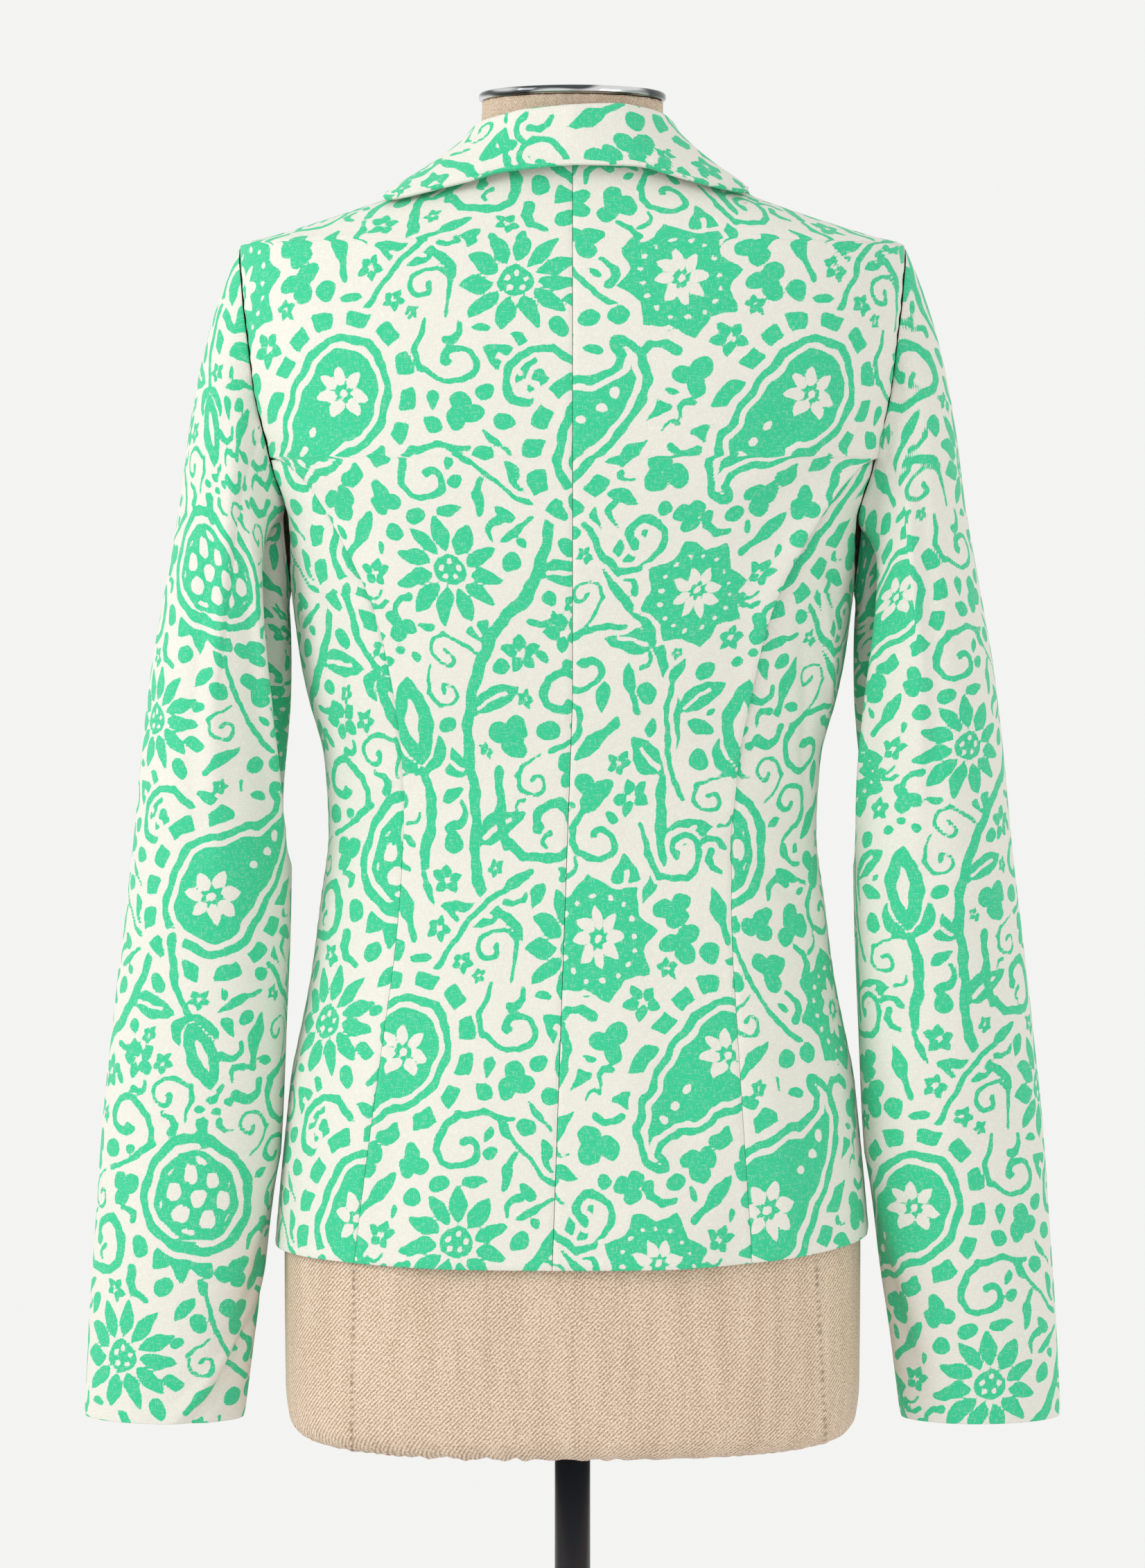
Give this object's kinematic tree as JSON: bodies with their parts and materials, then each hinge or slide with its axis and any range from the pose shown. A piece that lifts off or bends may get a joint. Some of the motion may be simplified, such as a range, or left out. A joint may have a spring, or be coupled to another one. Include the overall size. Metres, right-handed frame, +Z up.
{
  "type": "printed blazer on a limbless dress form with a stand",
  "caption": "Fitted women's one-button blazer with princess seams and notched lapels, worn on a limbless linen dress form with a pole and round base.",
  "frame": {"origin": "on the floor, under the middle of the base and the pole", "axes": "+Z up along the pole; the blazer's front faces -Y, its back +Y, and its left side as worn is +X"},
  "size_m": [0.549, 0.33, 1.45],
  "materials": {
    "print": "cream cotton with green print",
    "linen": "beige linen twill",
    "chrome": "polished",
    "black_steel": "satin black",
    "button": "satin cream"
  },
  "bodies": {
    "root": {"back_left": "print", "side_back_left": "print", "front_left": "print", "lapel_left": "print", "sleeve_left": "print", "back_right": "print", "side_back_right": "print", "front_right": "print", "lapel_right": "print", "sleeve_right": "print", "collar": "print", "button": "button", "form_body": "linen", "neck_cap": "chrome", "flange": "black_steel", "pole": "black_steel", "base_plate": "black_steel"}
  },
  "joints": []
}
